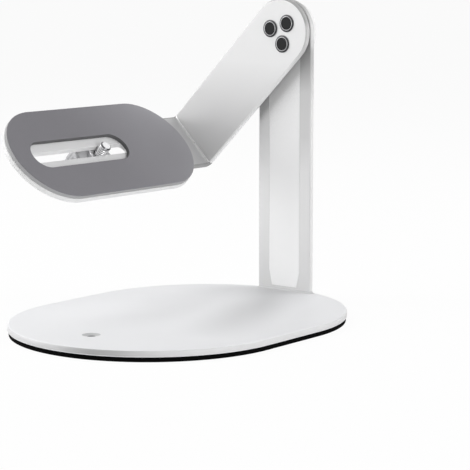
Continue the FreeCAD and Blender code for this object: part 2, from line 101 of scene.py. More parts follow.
# Sizes that are drawn here, as on the solids
FIXING_HOLE = 5.0
FIXING_SINK = 9.8
FIXING_SINK_DEPTH = 1.1
FIXING_FROM_FRONT = 29.0
PANEL_WIDTH = 21.8
PANEL_DEPTH = 0.3
PANEL_FOOT_GAP = 2.5
PANEL_TAPER = 2.0
PANEL_TAPER_HEIGHT = 9.0
PANEL_HUB_RADIUS = 18.0
BUSH_DIAMETER = 24.0
NECK_WIDTH = 38.0
NECK_FILLET = 2.5
FOLD_RADIUS = 1.0
TRAY_LENGTH = 139.4
PAD_SLOT_LENGTH = 74.8
PAD_SLOT_WIDTH = 18.2
PAD_SLOT_FROM_END = 13.3
PLATE_SLOT_LENGTH = 80.0
PLATE_SLOT_WIDTH = 6.8
BOLT_COUNT = 3
BOLT_DIAMETER = 5.0
BOLT_HOLE = 5.2
BOLT_PITCH = 0.8
NUT_WIDTH = 8.0
SCREW_DIAMETER = 6.35
SCREW_PITCH = 1.27
SHANK_DIAMETER = 6.0
FLUTE_COUNT = 20
FLUTE_DEPTH = 1.1
KNOB_COLLAR = 3.0

# Clearances between pieces that fit together
BUSH_GAP = 0.05
PANEL_GAP = 0.05
PLUG_GAP = 0.03
WASHER_GAP = 0.1

# Rounding of the edges, the step that holds a face flat beside a round edge, and how close to the level of
# a face counts as on it
BASE_EDGE = 1.0
BASE_FOOT_EDGE = 0.5
SINK_EDGE = 0.1
SINK_EDGE_DROP = 0.08
SHEET_EDGE = 1.0
UPRIGHT_EDGE = 0.8
PRESS_EDGE = 0.1
PANEL_UNDER_EDGE = 0.02
PAD_EDGE = 0.5
FINE_EDGE = 0.25
HEAD_EDGE = 0.1
LEDGE_EDGE = 0.15
RIM_EDGE = 0.06
PLUG_EDGE = 0.1
KNOB_EDGE = 1.2
FOOT_FILLET = 1.2
HOLDING = 0.3
FLAT = 0.01

# How finely round stretches are divided, and the angle in degrees past which an edge shows sharp
ROUND_STEPS = 6
FOLD_STEPS = 10
ARC_SPACING = 1.2
FINE_SPACING = 0.4
KNOB_SPACING = 0.3
LEAST_STEPS = 8
SHARP_ANGLE = 40

# Small forms that are seen close by
PANEL_FACE_SHARE = 0.8
RIM_WIDTH = 0.2
RIM_SEAT = 0.05
PLUG_DISH = 0.1
PLUG_CROWN = [(0.6, 0.03), (0, 0.04)]
NUT_FACE_SHARE = 0.97
NUT_LEVELS = [0, 0.15, 0.3, 0.5, 0.8]
KNOB_COLLAR_RUN = 1.0
KNOB_DISH_SHARE = 0.6
KNOB_DISH = [(1.4, 0), (1.0, 0), (0.4, 0.2), (0, 0.7), (-0.8, 1.0)]

# Threads: depth and rows of points to the pitch, spacing of points to the radius, and the groove's flanks
THREAD_DEPTH = 0.55
THREAD_ROWS = 14
THREAD_SPACING = 0.12
FLANK_SLOPE = 2.6
FLANK_START = 0.2

# Tips of the threads: chamfer to the diameter, plain lead and step, and how dark the grooves are marked as
# painted shade
TIP_CHAMFER = 0.1
TIP_LEAD = 0.35
TIP_STEP = 0.02
GROOVE_SHADE = 0.45

# Where one finish of a piece gives way to the next, most of them painted shade and one a painted
# highlight: a length of the neck, and shares of the fold, of the base's rounded edge, of the sink's depth
# and of its width
NECK_LENGTH = 14.0
CREASE_SHARE = 0.35
WALL_SHARE = 0.75
SINK_SPLIT = 0.6
BORE_SHARE = 0.3

slot_middle = tray_far - PAD_SLOT_FROM_END - PAD_SLOT_LENGTH / 2


# Outlines are lists of points, anticlockwise
def arc(centre, radius, start, end, spacing=ARC_SPACING):
    """Points of a round stretch between two angles in degrees, both ends included."""
    length = radius * abs(math.radians(end - start))
    steps = max(LEAST_STEPS, math.ceil(length / spacing))
    angles = [math.radians(start + (end - start) * step / steps) for step in range(steps + 1)]
    return [Vector((centre[0] + radius * math.cos(a), centre[1] + radius * math.sin(a))) for a in angles]


def circle(radius, centre=(0, 0), spacing=FINE_SPACING):
    return arc(centre, radius, 0, 360, spacing)[:-1]


def obround(radius, low, high):
    """Straight sides along the second axis, and a half circle at each end."""
    return arc((0, high - radius), radius, 0, 180) + arc((0, low + radius), radius, 180, 360)


def inset(outline, distance):
    """The outline moved inwards, or outwards where the distance is negative, with its corners kept."""
    moved = []
    for before, point, after in zip(outline[-1:] + outline[:-1], outline, outline[1:] + outline[:1]):
        first = (point - before).orthogonal().normalized()
        second = (after - point).orthogonal().normalized()
        moved.append(point + (first + second) * (distance / (1 + first.dot(second))))
    return moved


# Edge profiles are steps of (inset, level), from the underside up
def quarter_turn():
    return [math.pi / 2 * step / ROUND_STEPS for step in range(ROUND_STEPS + 1)]


def rounded_edge(thickness, top, bottom):
    """A plate's edge, round towards both faces, with a step on each face that keeps it flat beyond."""
    lower = [(bottom * (1 - math.sin(a)), bottom * (1 - math.cos(a))) for a in quarter_turn()]
    upper = [(top * (1 - math.cos(a)), thickness - top * (1 - math.sin(a))) for a in quarter_turn()]
    return [(bottom + HOLDING, 0)] + lower + upper + [(top + HOLDING, thickness)]


def hole_wall(thickness, edge):
    """A hole's wall as steps of (widening, level), from the top down, round at both of its rims."""
    return rounded_edge(thickness, edge, edge)[::-1]


def join_rings(bm, rings):
    """Quads between each ring of vertices and the next."""
    for low, high in zip(rings, rings[1:]):
        for index in range(len(low)):
            bm.faces.new((low[index - 1], low[index], high[index], high[index - 1]))


def draw_rings(bm, outline, steps):
    """The outline once for each step of (inset, level), as rings of vertices."""
    return [[bm.verts.new((x, y, level)) for x, y in inset(outline, distance)] for distance, level in steps]


def close_between(bm, rings):
    """A flat face inside the first ring and around the others."""
    edges = [bm.edges.get((ring[index - 1], ring[index])) for ring in rings for index in range(len(ring))]
    bmesh.ops.triangle_fill(bm, use_beauty=True, use_dissolve=False, edges=edges)


def plate(outline, edge, pits=()):
    """A flat piece whose rim follows the edge profile. Each pit is an outline with its steps of (widening,
    level), from the top down, and goes through or has a floor."""
    bm = bmesh.new()
    rim = draw_rings(bm, outline, edge)
    join_rings(bm, rim)
    tops = [rim[-1]]
    undersides = [rim[0]]
    for pit_outline, steps in pits:
        wall = draw_rings(bm, pit_outline, [(-widening, level) for widening, level in steps])
        join_rings(bm, wall)
        tops.append(wall[0])
        if steps[-1][1] == 0:
            undersides.append(wall[-1])
        else:
            close_between(bm, [wall[-1]])
    close_between(bm, tops)
    close_between(bm, undersides)
    return bm


def paint(bm, finishes, finish, test):
    """Give the faces whose middle passes the test one of the piece's finishes."""
    number = finishes.index(finish)
    for face in bm.faces:
        if test(face.calc_center_median()):
            face.material_index = number


def turned(profile):
    """A piece from the lathe: points of (radius, level) taken once around the axis, and closed into a ring
    where they don't start on the axis."""
    bm = bmesh.new()
    around = circle(1, spacing=FINE_SPACING / max(radius for radius, level in profile))
    rings = []
    for radius, level in profile:
        points = around if radius else around[:1]
        rings.append([bm.verts.new((*(point * radius), level)) for point in points])
    if profile[0][0]:
        rings.append(rings[0])
    for low, high in zip(rings, rings[1:]):
        for index in range(len(around)):
            corners = [low[(index - 1) % len(low)], low[index % len(low)]]
            corners += [high[index % len(high)], high[(index - 1) % len(high)]]
            bm.faces.new(list(dict.fromkeys(corners)))
    return bm


def turned_ring(inner, outer, low, high, edge=FINE_EDGE):
    """A ring with all four of its edges eased."""
    steps = rounded_edge(high - low, edge, edge)[1:-1]
    outside = [(outer - back, low + level) for back, level in steps]
    inside = [(inner + back, low + level) for back, level in reversed(steps)]
    return turned(outside + inside)


def threaded_rod(diameter, pitch, low, high, plain_top=None, plain_diameter=0.0):
    """A rod with a thread up to a plain lead and a chamfered tip, and a plain shank up to a level. The
    grooves and the chamfer are marked, so that its finish can darken them as painted shade."""
    bm = bmesh.new()
    mark = bm.verts.layers.float.new("groove")
    around = circle(1, spacing=THREAD_SPACING)
    depth = THREAD_DEPTH * pitch
    chamfer = TIP_CHAMFER * diameter
    tip = diameter / 2 - chamfer
    lead = high - chamfer - TIP_LEAD
    rows = math.ceil((lead - low) / pitch * THREAD_ROWS)
    rings = []
    for row in range(rows + 1):
        level = low + (lead - low) * row / rows
        ring = []
        for index, point in enumerate(around):
            phase = (level / pitch - index / len(around)) % 1
            groove = min(1, max(0, FLANK_SLOPE * abs(phase - 0.5) - FLANK_START))
            # The groove runs out over the last half pitch
            groove *= min(1, (lead - level) / pitch * 2)
            radius = diameter / 2 - depth * groove
            if plain_top is not None and level < plain_top:
                radius = plain_diameter / 2
                groove = 0
            vertex = bm.verts.new((*(point * radius), level))
            vertex[mark] = GROOVE_SHADE * groove
            ring.append(vertex)
        rings.append(ring)
    # Each edge of the chamfer is drawn twice, a step apart, so that its mark starts and ends sharply
    for radius, level, dark in [(diameter / 2, high - chamfer, 0), (diameter / 2, high - chamfer, 1),
                                (tip, high, 1), (tip, high, 0)]:
        rings.append([bm.verts.new((*(point * (radius - TIP_STEP * dark)), level)) for point in around])
        for vertex in rings[-1]:
            vertex[mark] = dark
    join_rings(bm, rings)
    bm.faces.new(rings[0])
    bm.faces.new(rings[-1])
    return bm


# Finishes
class Signal:
    """A shader socket that takes part in Python arithmetic; each operation adds a Math node."""

    def __init__(self, nodes, socket):
        self.nodes = nodes
        self.socket = socket

    def math(self, operation, first, second):
        return self.nodes.add("ShaderNodeMath", {"operation": operation}, {0: first, 1: second})

    def __add__(self, other):
        return self.math("ADD", self, other)

    def __sub__(self, other):
        return self.math("SUBTRACT", self, other)

    def __rsub__(self, other):
        return self.math("SUBTRACT", other, self)

    def __mul__(self, other):
        return self.math("MULTIPLY", self, other)

    __radd__ = __add__
    __rmul__ = __mul__


class Nodes:
    """A node tree under construction."""

    def __init__(self, tree):
        self.tree = tree

    def add(self, kind, settings=None, sockets=None, output=0):
        """A node with its settings and then its sockets, each a value or a signal."""
        made = self.tree.nodes.new(kind)
        for name, value in (settings or {}).items():
            setattr(made, name, value)
        for name, value in (sockets or {}).items():
            self.feed(made.inputs[name], value)
        return Signal(self, made.outputs[output])

    def feed(self, socket, value):
        if isinstance(value, Signal):
            self.tree.links.new(value.socket, socket)
        else:
            socket.default_value = value


class Finish(Nodes):
    """A material, with the name of one of the record's slots kept but not used, or a material for the
    floor.
    """

    def __init__(self, name, slot=None):
        self.slot = slot
        self.material = bpy.data.materials.new(name)
        self.material.use_nodes = True
        super().__init__(self.material.node_tree)
        self.shader = self.tree.nodes["Principled BSDF"]
        self.place = self.add("ShaderNodeTexCoord", output="Object")

    def noise(self, size, detail=2.0):
        """Cloudy variation from nought to one, with features of about this size in millimetres."""
        sockets = {"Vector": self.place, "Scale": 1 / (size * MM), "Detail": detail}
        return self.add("ShaderNodeTexNoise", None, sockets)

    def mix(self, factor, first, second):
        """One colour turning into another, each a signal or three numbers."""
        colours = [colour if isinstance(colour, Signal) else (*colour, 1) for colour in (first, second)]
        sockets = {0: factor, 6: colours[0], 7: colours[1]}
        return self.add("ShaderNodeMix", {"data_type": "RGBA"}, sockets, 2)

    def between(self, start, end):
        """How far a place lies on the way from one point to another, from nought to one."""
        way = (end - start) / (end - start).length_squared
        settings = {"operation": "DOT_PRODUCT"}
        reached = self.add("ShaderNodeVectorMath", settings, {0: self.place, 1: way}, "Value")
        return self.add("ShaderNodeClamp", None, {"Value": reached - start.dot(way)})

    def along(self, origin, way, start, end):
        """From nought to one between two distances in millimetres along a way from a point."""
        return self.between(origin + way * (start * MM), origin + way * (end * MM))

    def openness(self, reach):
        """How little stands close over a place, within a reach in millimetres, from nought to one."""
        return self.add("ShaderNodeAmbientOcclusion", None, {"Distance": reach * MM}, "AO")

    def bump(self, height, depth, under=None):
        """A height from nought to one as relief of this depth in millimetres, over another relief."""
        sockets = {"Height": height, "Distance": depth * MM}
        if under:
            sockets["Normal"] = under
        return self.add("ShaderNodeBump", None, sockets)

    def set(self, **sockets):
        """Set the surface's sockets by their names in lower case."""
        by_name = {socket.name.lower().replace(" ", "_"): socket for socket in self.shader.inputs}
        for name, value in sockets.items():
            self.feed(by_name[name], value)
        return self


# Ways and points on the stand at rest, along and from which finishes are painted with shade and light
UP = Vector((0, 0, 1))
DOWN = -UP
RIGHT = Vector((1, 0, 0))
FORWARD = Vector((0, -1, 0))
CROWN = Vector((0.4, 0, 0.917))
base_middle = Vector((0, 0, 0))
fold_corner = arm_frame @ Vector((0, -arm_front * MM, -arm_reach * MM))

# Spans of the painted shade and light in millimetres, how deep some of it goes, and how open a clear
# and a covered place are
ARM_SPAN = (-8, 48)
FLANGE_SPAN = (0, 22)
PAD_SPAN = (0, 110)
COVER_REACH = 30
COVER_START = (-4, 6)
COVER_END = (60, 90)
PANEL_COVER = (0.985, 0.89)
BAND_COVER = (0.96, 0.83)
BAND_STRETCHES = [(0.53, 18, 34), (0.17, 34, 62), (0.30, 60, 80)]
BAND_FOOT = (88, 148)
BAND_FOOT_SHADE = 0.3
CROWN_SPAN = (10, 18)
HEAD_SIDE_SPAN = (6, 17)
HEAD_SIDE_SHADE = 0.6
HEAD_CORNER_START = (0, 12)
HEAD_CORNER_END = (16, 45)
FOOT_SHADE_START = (6, 75)
FOOT_SHADE_END = (53, -42)
FOOT_SHADE_HALF = 27
BACK_LEFT_SPAN = (0, 30)
BACK_SPAN = (50, 90)
BACK_SHADE = 0.3
FRONT_WALL_HUMP = (-5, 25, 60)
FRONT_WALL_SPAN = (0, 40)


# How clear the arm is of painted shade, which deepens towards the fold
def up_arm(finish):
    return finish.along(fold_corner, UP, *ARM_SPAN)


# How clear the tray's plate is of painted shade, which deepens towards the fold
def along_flange(finish):
    return finish.along(fold_corner, FORWARD, *FLANGE_SPAN)


def near_fold(finish):
    """How much painted light the pad takes near the fold: it falls off along the tray, at first steeply."""
    near = 1 - finish.along(fold_corner, FORWARD, *PAD_SPAN)
    return near * near


def clear_of_arm(finish, cover_levels=PANEL_COVER):
    """How clear a place is of the painted shade under the arm: nought where the arm stands close over the
    upright, below the pivot.
    """
    clear, covered = cover_levels
    openness = finish.openness(COVER_REACH)
    cover = finish.add("ShaderNodeMapRange", None, {"Value": openness, 1: clear, 2: covered})
    below = finish.along(pivot, DOWN, *COVER_START) - finish.along(pivot, DOWN, *COVER_END)
    return 1 - cover * below


def along_bands(finish):
    """How clear the upright's front is of painted shade: clear of the arm, more so in three stretches down
    the upright, and less again towards its foot.
    """
    upper = sum(share * finish.along(pivot, DOWN, start, end) for share, start, end in BAND_STRETCHES)
    lower = finish.along(pivot, DOWN, *BAND_FOOT)
    return clear_of_arm(finish, BAND_COVER) * upper * (1 - lower * BAND_FOOT_SHADE)


def off_crown(finish):
    """Nought in the painted shade at the top of the rounded heads."""
    return 1 - finish.along(pivot, CROWN, *CROWN_SPAN)


def around_head(finish):
    """Clear of the crown's painted shade, and less clear at the right side of the arm's head, where shade
    is painted too.
    """
    return off_crown(finish) - finish.along(pivot, RIGHT, *HEAD_SIDE_SPAN) * HEAD_SIDE_SHADE


def beside_head(finish):
    """Nought in the painted shade at the crown and in the corner under the arm's head."""
    corner = finish.along(pivot, DOWN, *HEAD_CORNER_START) - finish.along(pivot, DOWN, *HEAD_CORNER_END)
    return off_crown(finish) - corner


def on_base(across, along):
    return Vector((across, along, 0)) * MM


def hump(finish, start, top, end):
    """Rises smoothly from nought to one between two points, and falls again towards a third."""
    rise = finish.between(start, top) - finish.between(top, end)
    return rise * rise * (3 - rise * 2)


def off_foot(finish):
    """Nought in the painted soft shadow ahead of the upright's foot, and under one in the painted shade at
    the base's back left.
    """
    foot = on_base(*FOOT_SHADE_START)
    front = on_base(*FOOT_SHADE_END)
    aside = (front - foot).cross(UP).normalized() * (FOOT_SHADE_HALF * MM)
    ahead = finish.between(foot, front)
    shade = hump(finish, foot + aside, foot, foot - aside) * (1 - ahead * ahead)
    left = finish.along(base_middle, -RIGHT, *BACK_LEFT_SPAN)
    behind = left * finish.along(base_middle, -FORWARD, *BACK_SPAN)
    return 1 - shade - behind * BACK_SHADE


def off_front(finish):
    """Nought in a painted shade on a short stretch of the base's wall at its front."""
    stretch = hump(finish, *[on_base(across, 0) for across in FRONT_WALL_HUMP])
    return 1 - stretch * finish.along(base_middle, FORWARD, *FRONT_WALL_SPAN)


def grey(level, blue=None):
    """A neutral colour, or a cooler one where its blue has a level of its own."""
    return (level, level, blue or level)


def powder_coat(name, pale, shaded=None, clear=None, roughness=0.4):
    """Satin powder coat: an even colour with a faint drift, and the fine orange peel of baked powder. It
    may deepen to a shaded colour; a function of the finish then tells how clear of the shade a place is."""
    finish = Finish(name, "white_enamel")
    drift = finish.noise(45.0, 3.0)
    peel = finish.noise(0.9, 1.0)
    grain = finish.noise(0.16)
    colour = finish.mix(drift * 0.7 + grain * 0.3, pale, [channel * 0.96 for channel in pale])
    if shaded:
        colour = finish.mix(clear(finish), shaded, colour)
    return finish.set(base_color=colour,
                      roughness=roughness + (drift - 0.5) * 0.06 + (grain - 0.5) * 0.08,
                      normal=finish.bump(peel, 0.012, finish.bump(grain, 0.003)),
                      specular_ior_level=0.4)


def silicone(name, pale, deep, lit=None):
    """Matt silicone with a fine moulded grain, and painted lighter towards the fold, as painted light, if
    it has a colour for that.
    """
    finish = Finish(name, "grey_silicone")
    drift = finish.noise(30.0, 3.0)
    grain = finish.noise(0.28, 3.0)
    colour = finish.mix(drift * 0.5 + grain * 0.5, pale, deep)
    if lit:
        colour = finish.mix(near_fold(finish), colour, lit)
    return finish.set(base_color=colour,
                      roughness=0.72 + (grain - 0.5) * 0.2,
                      normal=finish.bump(grain, 0.02),
                      specular_ior_level=0.3)


def black_moulding(name, slot, pale, grain_size, relief, roughness, shine):
    """Black rubber or nylon with a moulded grain, of a size and a relief in millimetres."""
    finish = Finish(name, slot)
    grain = finish.noise(grain_size, 3.0)
    drift = finish.noise(18.0)
    deep = [channel * 0.5 for channel in pale]
    return finish.set(base_color=finish.mix(grain * 0.6 + drift * 0.4, deep, pale),
                      roughness=roughness + (grain - 0.5) * 0.2,
                      normal=finish.bump(grain, relief),
                      specular_ior_level=shine)


def worked_metal(name, slot, pale, deep, roughness, metallic=1.0):
    """Metal with fine tool marks and a faint tarnish, and darker in grooves that are marked, as painted
    shade.
    """
    finish = Finish(name, slot)
    grain = finish.noise(0.2, 4.0)
    tarnish = finish.noise(3.0, 3.0)
    groove = finish.add("ShaderNodeAttribute", {"attribute_name": "groove"}, output="Fac")
    worn = tarnish * 0.35 + grain * 0.15
    return finish.set(base_color=finish.mix(worn + groove * (1 - worn), pale, deep),
                      metallic=metallic,
                      roughness=roughness + (tarnish - 0.5) * 0.12,
                      normal=finish.bump(grain, 0.004))


# The base's top: a painted soft shadow ahead of the upright's foot, and painted shade at its back left
base_coat = powder_coat("base_coat", (0.842, 0.847, 0.862), (0.556, 0.560, 0.570), off_foot)
# The base's wall: painted darker than the top as painted shade, and deeper still at the front
wall_coat = powder_coat("wall_coat", grey(0.70, 0.705), grey(0.43), off_front)
# The foot's fillet: painted darker than the upright, as painted shade where it meets the base
foot_coat = powder_coat("foot_coat", grey(0.60, 0.605))
# The sink is painted grey and the bore near black, as painted shade in the hole
sink_coat = powder_coat("sink_coat", grey(0.54, 0.545))
bore_coat = powder_coat("bore_coat", grey(0.03))
# The arm and the disc behind it: painted shade on the arm, deepening towards the fold
arm_coat = powder_coat("arm_coat", grey(0.86), grey(0.56), up_arm)
# The tray's plate: painted darker than the arm as painted shade, deepening towards the fold
tray_coat = powder_coat("tray_coat", grey(0.70, 0.705), grey(0.47, 0.475), along_flange)
# The sheet's edges: a little darker than its front, with painted shade at the crown and the right side of
# the head
arm_edge_coat = powder_coat("arm_edge_coat", grey(0.80), grey(0.40), around_head)
# The neck's edge by the fold: painted dark, as painted shade
neck_coat = powder_coat("neck_coat", grey(0.30))
# The upright's front: painted shade under the arm, down its upper part and towards its foot
upright_coat = powder_coat("upright_coat", grey(0.88), grey(0.34), along_bands)
# The panel's face: painted shade under the arm
panel_coat = powder_coat("panel_coat", grey(0.97), grey(0.53), clear_of_arm, roughness=0.3)
# The upright's sides and back: darker than its front, with painted shade at the crown and under the arm's
# head
side_coat = powder_coat("side_coat", grey(0.76), grey(0.48), beside_head)

# The pad's top: painted light towards the fold
pad_silicone = silicone("pad_silicone", (0.182, 0.178, 0.193), (0.217, 0.213, 0.229), (0.42, 0.414, 0.44))
# The pad's edge: painted lighter than its top, as painted light
pad_side = silicone("pad_side", grey(0.34, 0.345), grey(0.40, 0.405))
# The pad's slot wall: painted dark, as painted shade
pad_slot_wall = silicone("pad_slot_wall", grey(0.10, 0.103), grey(0.13, 0.134))

mat_rubber = black_moulding("mat_rubber", "black_rubber", grey(0.004),
                            grain_size=0.5, relief=0.05, roughness=0.85, shine=0.02)
washer_nylon = black_moulding("washer_nylon", "black_nylon", grey(0.022, 0.024),
                              grain_size=0.3, relief=0.02, roughness=0.55, shine=0.25)
plug_rubber = black_moulding("plug_rubber", "black_cap", grey(0.026, 0.027),
                             grain_size=0.45, relief=0.06, roughness=0.6, shine=0.12)

# The fold's crease: a bright metal band that makes a painted highlight along the fold
crease_steel = worked_metal("crease_steel", "white_enamel", grey(0.92), grey(0.86), 0.3)
dark_steel = worked_metal("dark_steel", "polished_steel", grey(0.09, 0.093), grey(0.04, 0.042), 0.35)
rim_steel = worked_metal("rim_steel", "polished_steel", grey(0.74, 0.75), grey(0.60, 0.61), 0.3)
bright_steel = worked_metal("bright_steel", "polished_steel", grey(0.74, 0.75), grey(0.56, 0.57), 0.22)
stud_steel = worked_metal("stud_steel", "polished_steel", grey(0.90, 0.91), grey(0.10, 0.105), 0.28)
# The knob: its sides painted darker as painted shade, and its face towards the tray paler as painted light
knob_side = worked_metal("knob_side", "knob_aluminium", grey(0.36, 0.37), grey(0.30, 0.31), 0.6, 0.3)
knob_face = worked_metal("knob_face", "knob_aluminium", grey(0.56, 0.57), grey(0.48, 0.49), 0.6, 0.3)


def make_piece(name, bm, place, body, finishes, *nodes):
    """Set a drawn piece in the frame, on its body, in place of its solids."""
    bm.transform(place @ Matrix.Scale(MM, 4))
    bmesh.ops.recalc_face_normals(bm, faces=bm.faces)
    for face in bm.faces:
        face.smooth = True
    mesh = bpy.data.meshes.new(name)
    bm.to_mesh(mesh)
    bm.free()
    mesh.set_sharp_from_angle(angle=math.radians(SHARP_ANGLE))
    for finish in finishes:
        mesh.materials.append(finish.material)
    piece = bpy.data.objects.new(name, mesh)
    bpy.context.scene.collection.objects.link(piece)
    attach(piece, body)
    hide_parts(*nodes)


# Stand
def make_base():
    """The plate, with a sunk hole towards its front, and the mat under it."""
    hole_place = Vector((0, base_low.y + FIXING_FROM_FRONT))
    hole = circle(FIXING_HOLE / 2, hole_place)
    rim = (FIXING_SINK - FIXING_HOLE) / 2
    sink = [(rim + HOLDING, 0), (rim + SINK_EDGE, 0), (rim - SINK_EDGE / 2, SINK_EDGE_DROP),
            (rim * (1 - SINK_SPLIT), FIXING_SINK_DEPTH * SINK_SPLIT), (0, FIXING_SINK_DEPTH)]
    steps = [(widening, base_thickness - drop) for widening, drop in sink]
    steps += [(0, FINE_EDGE), (FINE_EDGE, 0)]
    outline = obround(base_high.x, base_low.y, base_high.y)
    bm = plate(outline, rounded_edge(base_thickness, BASE_EDGE, BASE_FOOT_EDGE), [(hole, steps)])
    coats = [base_coat, wall_coat, sink_coat, bore_coat]
    wall_top = base_thickness - BASE_EDGE * (1 - WALL_SHARE)
    # The wall is painted darker, as painted shade
    paint(bm, coats, wall_coat, lambda middle: BASE_FOOT_EDGE < middle.z < wall_top)
    # The sink and the bore are painted darker, as painted shade
    for coat, diameter in [(sink_coat, FIXING_SINK), (bore_coat, FIXING_HOLE + rim * BORE_SHARE)]:
        paint(bm, coats, coat, lambda middle: (middle.xy - hole_place).length < diameter / 2)
    make_piece("enamelled_base", bm, lifted(Matrix(), base_low.z), "stand", coats, "base_plate")
    outline = obround(mat_high.x, mat_low.y, mat_high.y)
    bm = plate(outline, rounded_edge(mat_thickness, FINE_EDGE / 2, FINE_EDGE),
               [(hole, hole_wall(mat_thickness, FINE_EDGE / 2))])
    make_piece("rubber_mat", bm, lifted(Matrix(), mat_low.z), "stand", [mat_rubber], "anti_slip_mat")


def panel_outline():
    """Straight sides, a narrowing foot, and a top that keeps clear of the hub."""
    half = PANEL_WIDTH / 2
    narrow = half - PANEL_TAPER
    foot = upright_low.z + PANEL_FOOT_GAP
    shoulder = foot + PANEL_TAPER_HEIGHT
    lean = math.degrees(math.asin(half / PANEL_HUB_RADIUS))
    top = arc((0, pivot_level), PANEL_HUB_RADIUS, 270 + lean, 270 - lean)
    sides = [(-half, shoulder), (-narrow, foot), (narrow, foot), (half, shoulder)]
    return top + [Vector(corner) for corner in sides]


def make_upright():
    """The upright's plate with its pressed panel, and the smooth face of the panel."""
    foot = upright_low.z
    outline = arc((0, pivot_level), upright_half, 0, 180)
    outline += [Vector((-upright_half, foot)), Vector((upright_half, foot))]
    bore = circle(BUSH_DIAMETER / 2, (0, pivot_level))
    panel = panel_outline()
    floor = upright_thickness - PANEL_DEPTH
    press = [(HOLDING, upright_thickness), (PRESS_EDGE, upright_thickness),
             (0, upright_thickness - PRESS_EDGE), (0, floor)]
    pits = [(bore, hole_wall(upright_thickness, FINE_EDGE)), (panel, press)]
    bm = plate(outline, rounded_edge(upright_thickness, UPRIGHT_EDGE, UPRIGHT_EDGE), pits)
    # The front carries painted shade under the arm and along its bands
    coats = [upright_coat, side_coat]
    # The sides and back carry painted shade at the crown and in the corner under the arm's head
    paint(bm, coats, side_coat, lambda middle: middle.z < upright_thickness - FLAT)
    back = Matrix.Translation((0, upright_high.y * MM, 0)) @ standing
    make_piece("enamelled_upright", bm, back, "stand", coats, "upright")
    edge = rounded_edge(PANEL_DEPTH * PANEL_FACE_SHARE, PRESS_EDGE, PANEL_UNDER_EDGE)
    bm = plate(inset(panel, PANEL_GAP), edge)
    # The panel's face carries painted shade under the arm
    make_piece("panel_face", bm, lifted(back, floor), "stand", [panel_coat])


def make_foot_fillet():
    """The bead that joins the upright's foot to the base, smoothed over by the coat."""
    near = Vector((upright_half - UPRIGHT_EDGE, upright_high.y - UPRIGHT_EDGE))
    far = Vector((-near.x, upright_low.y + UPRIGHT_EDGE))
    outline = []
    for turn, corner in enumerate([near, (far.x, near.y), far, (near.x, far.y)]):
        outline += arc(corner, UPRIGHT_EDGE, 90 * turn, 90 * turn + 90)
    hollow = [(FOOT_FILLET * (math.sin(a) - 1), FOOT_FILLET * (1 - math.cos(a))) for a in quarter_turn()]
    bm = bmesh.new()
    rings = draw_rings(bm, outline, [(HOLDING, 0)] + hollow + [(HOLDING, FOOT_FILLET)])
    join_rings(bm, rings + rings[:1])
    # The fillet is painted darker, as painted shade at the foot
    make_piece("foot_fillet", bm, lifted(Matrix(), upright_low.z), "stand", [foot_coat])


# Arm and tray, drawn flat as the sheet is cut, then folded
fold_length = (FOLD_RADIUS + sheet / 2) * math.pi / 2
fold_start = arm_reach - FOLD_RADIUS
fold_end = fold_start + fold_length


def cut_level(ahead):
    """The height in the flat sheet of a line across the tray, at a distance ahead of the pivot."""
    return arm_front + FOLD_RADIUS - fold_end - ahead


def sheet_outline():
    """A round head, the arm, a neck with a fillet on each side, and the tray."""
    near = cut_level(tray_far - TRAY_LENGTH + tray_radius)
    far = cut_level(tray_far - tray_radius)
    across = NECK_WIDTH / 2 + NECK_FILLET
    rise = math.sqrt((tray_radius + NECK_FILLET) ** 2 - across ** 2)
    lean = math.degrees(math.atan2(rise, across))
    outline = arc((0, 0), head_radius, 0, 180)
    outline += arc((-across, near + rise), NECK_FILLET, 0, -lean)
    outline += arc((0, near), tray_radius, 180 - lean, 180)
    outline += arc((0, far), tray_radius, 180, 360)
    outline += arc((0, near), tray_radius, 0, lean)
    outline += arc((across, near + rise), NECK_FILLET, 180 + lean, 180)
    return outline


def cut_for_fold(bm):
    """Divide the flat sheet across the fold, so that it can bend there."""
    cuts = [fold_start + fold_length * step / FOLD_STEPS for step in range(FOLD_STEPS + 1)]
    for cut in [fold_start - HOLDING, *cuts, fold_end + HOLDING]:
        geometry = bm.verts[:] + bm.edges[:] + bm.faces[:]
        bmesh.ops.bisect_plane(bm, geom=geometry, plane_co=(0, -cut, 0), plane_no=(0, 1, 0))


def fold_sheet(bm):
    """Bend the flat sheet a quarter turn about the fold, towards its front."""
    for vertex in bm.verts:
        along = -vertex.co.y
        turn = math.pi / 2 * min(1, max(0, (along - fold_start) / fold_length))
        depth = FOLD_RADIUS + sheet - vertex.co.z
        ahead = arm_front + FOLD_RADIUS - depth * math.cos(turn) + max(0, along - fold_end)
        down = min(along, fold_start) + depth * math.sin(turn)
        vertex.co = (vertex.co.x, -ahead, -down)


def bolt_span(kind, number):
    """A bolt piece's place around the pivot, its back and front levels, and its radius."""
    low, high = box_in(f"{kind}_{number}", hub_frame)
    middle = (low + high) / 2
    return middle.xy, low.z, high.z, high.x - middle.x


bolt_numbers = range(1, BOLT_COUNT + 1)
bolt_places = [bolt_span("bolt_cap", number)[0] for number in bolt_numbers]


def bolt_holes(thickness):
    return [(circle(BOLT_HOLE / 2, place), hole_wall(thickness, FINE_EDGE)) for place in bolt_places]


def on_sheet_edge(middle):
    return FLAT < middle.z < sheet - FLAT


def on_sheet_front(middle):
    return middle.z > sheet - FLAT


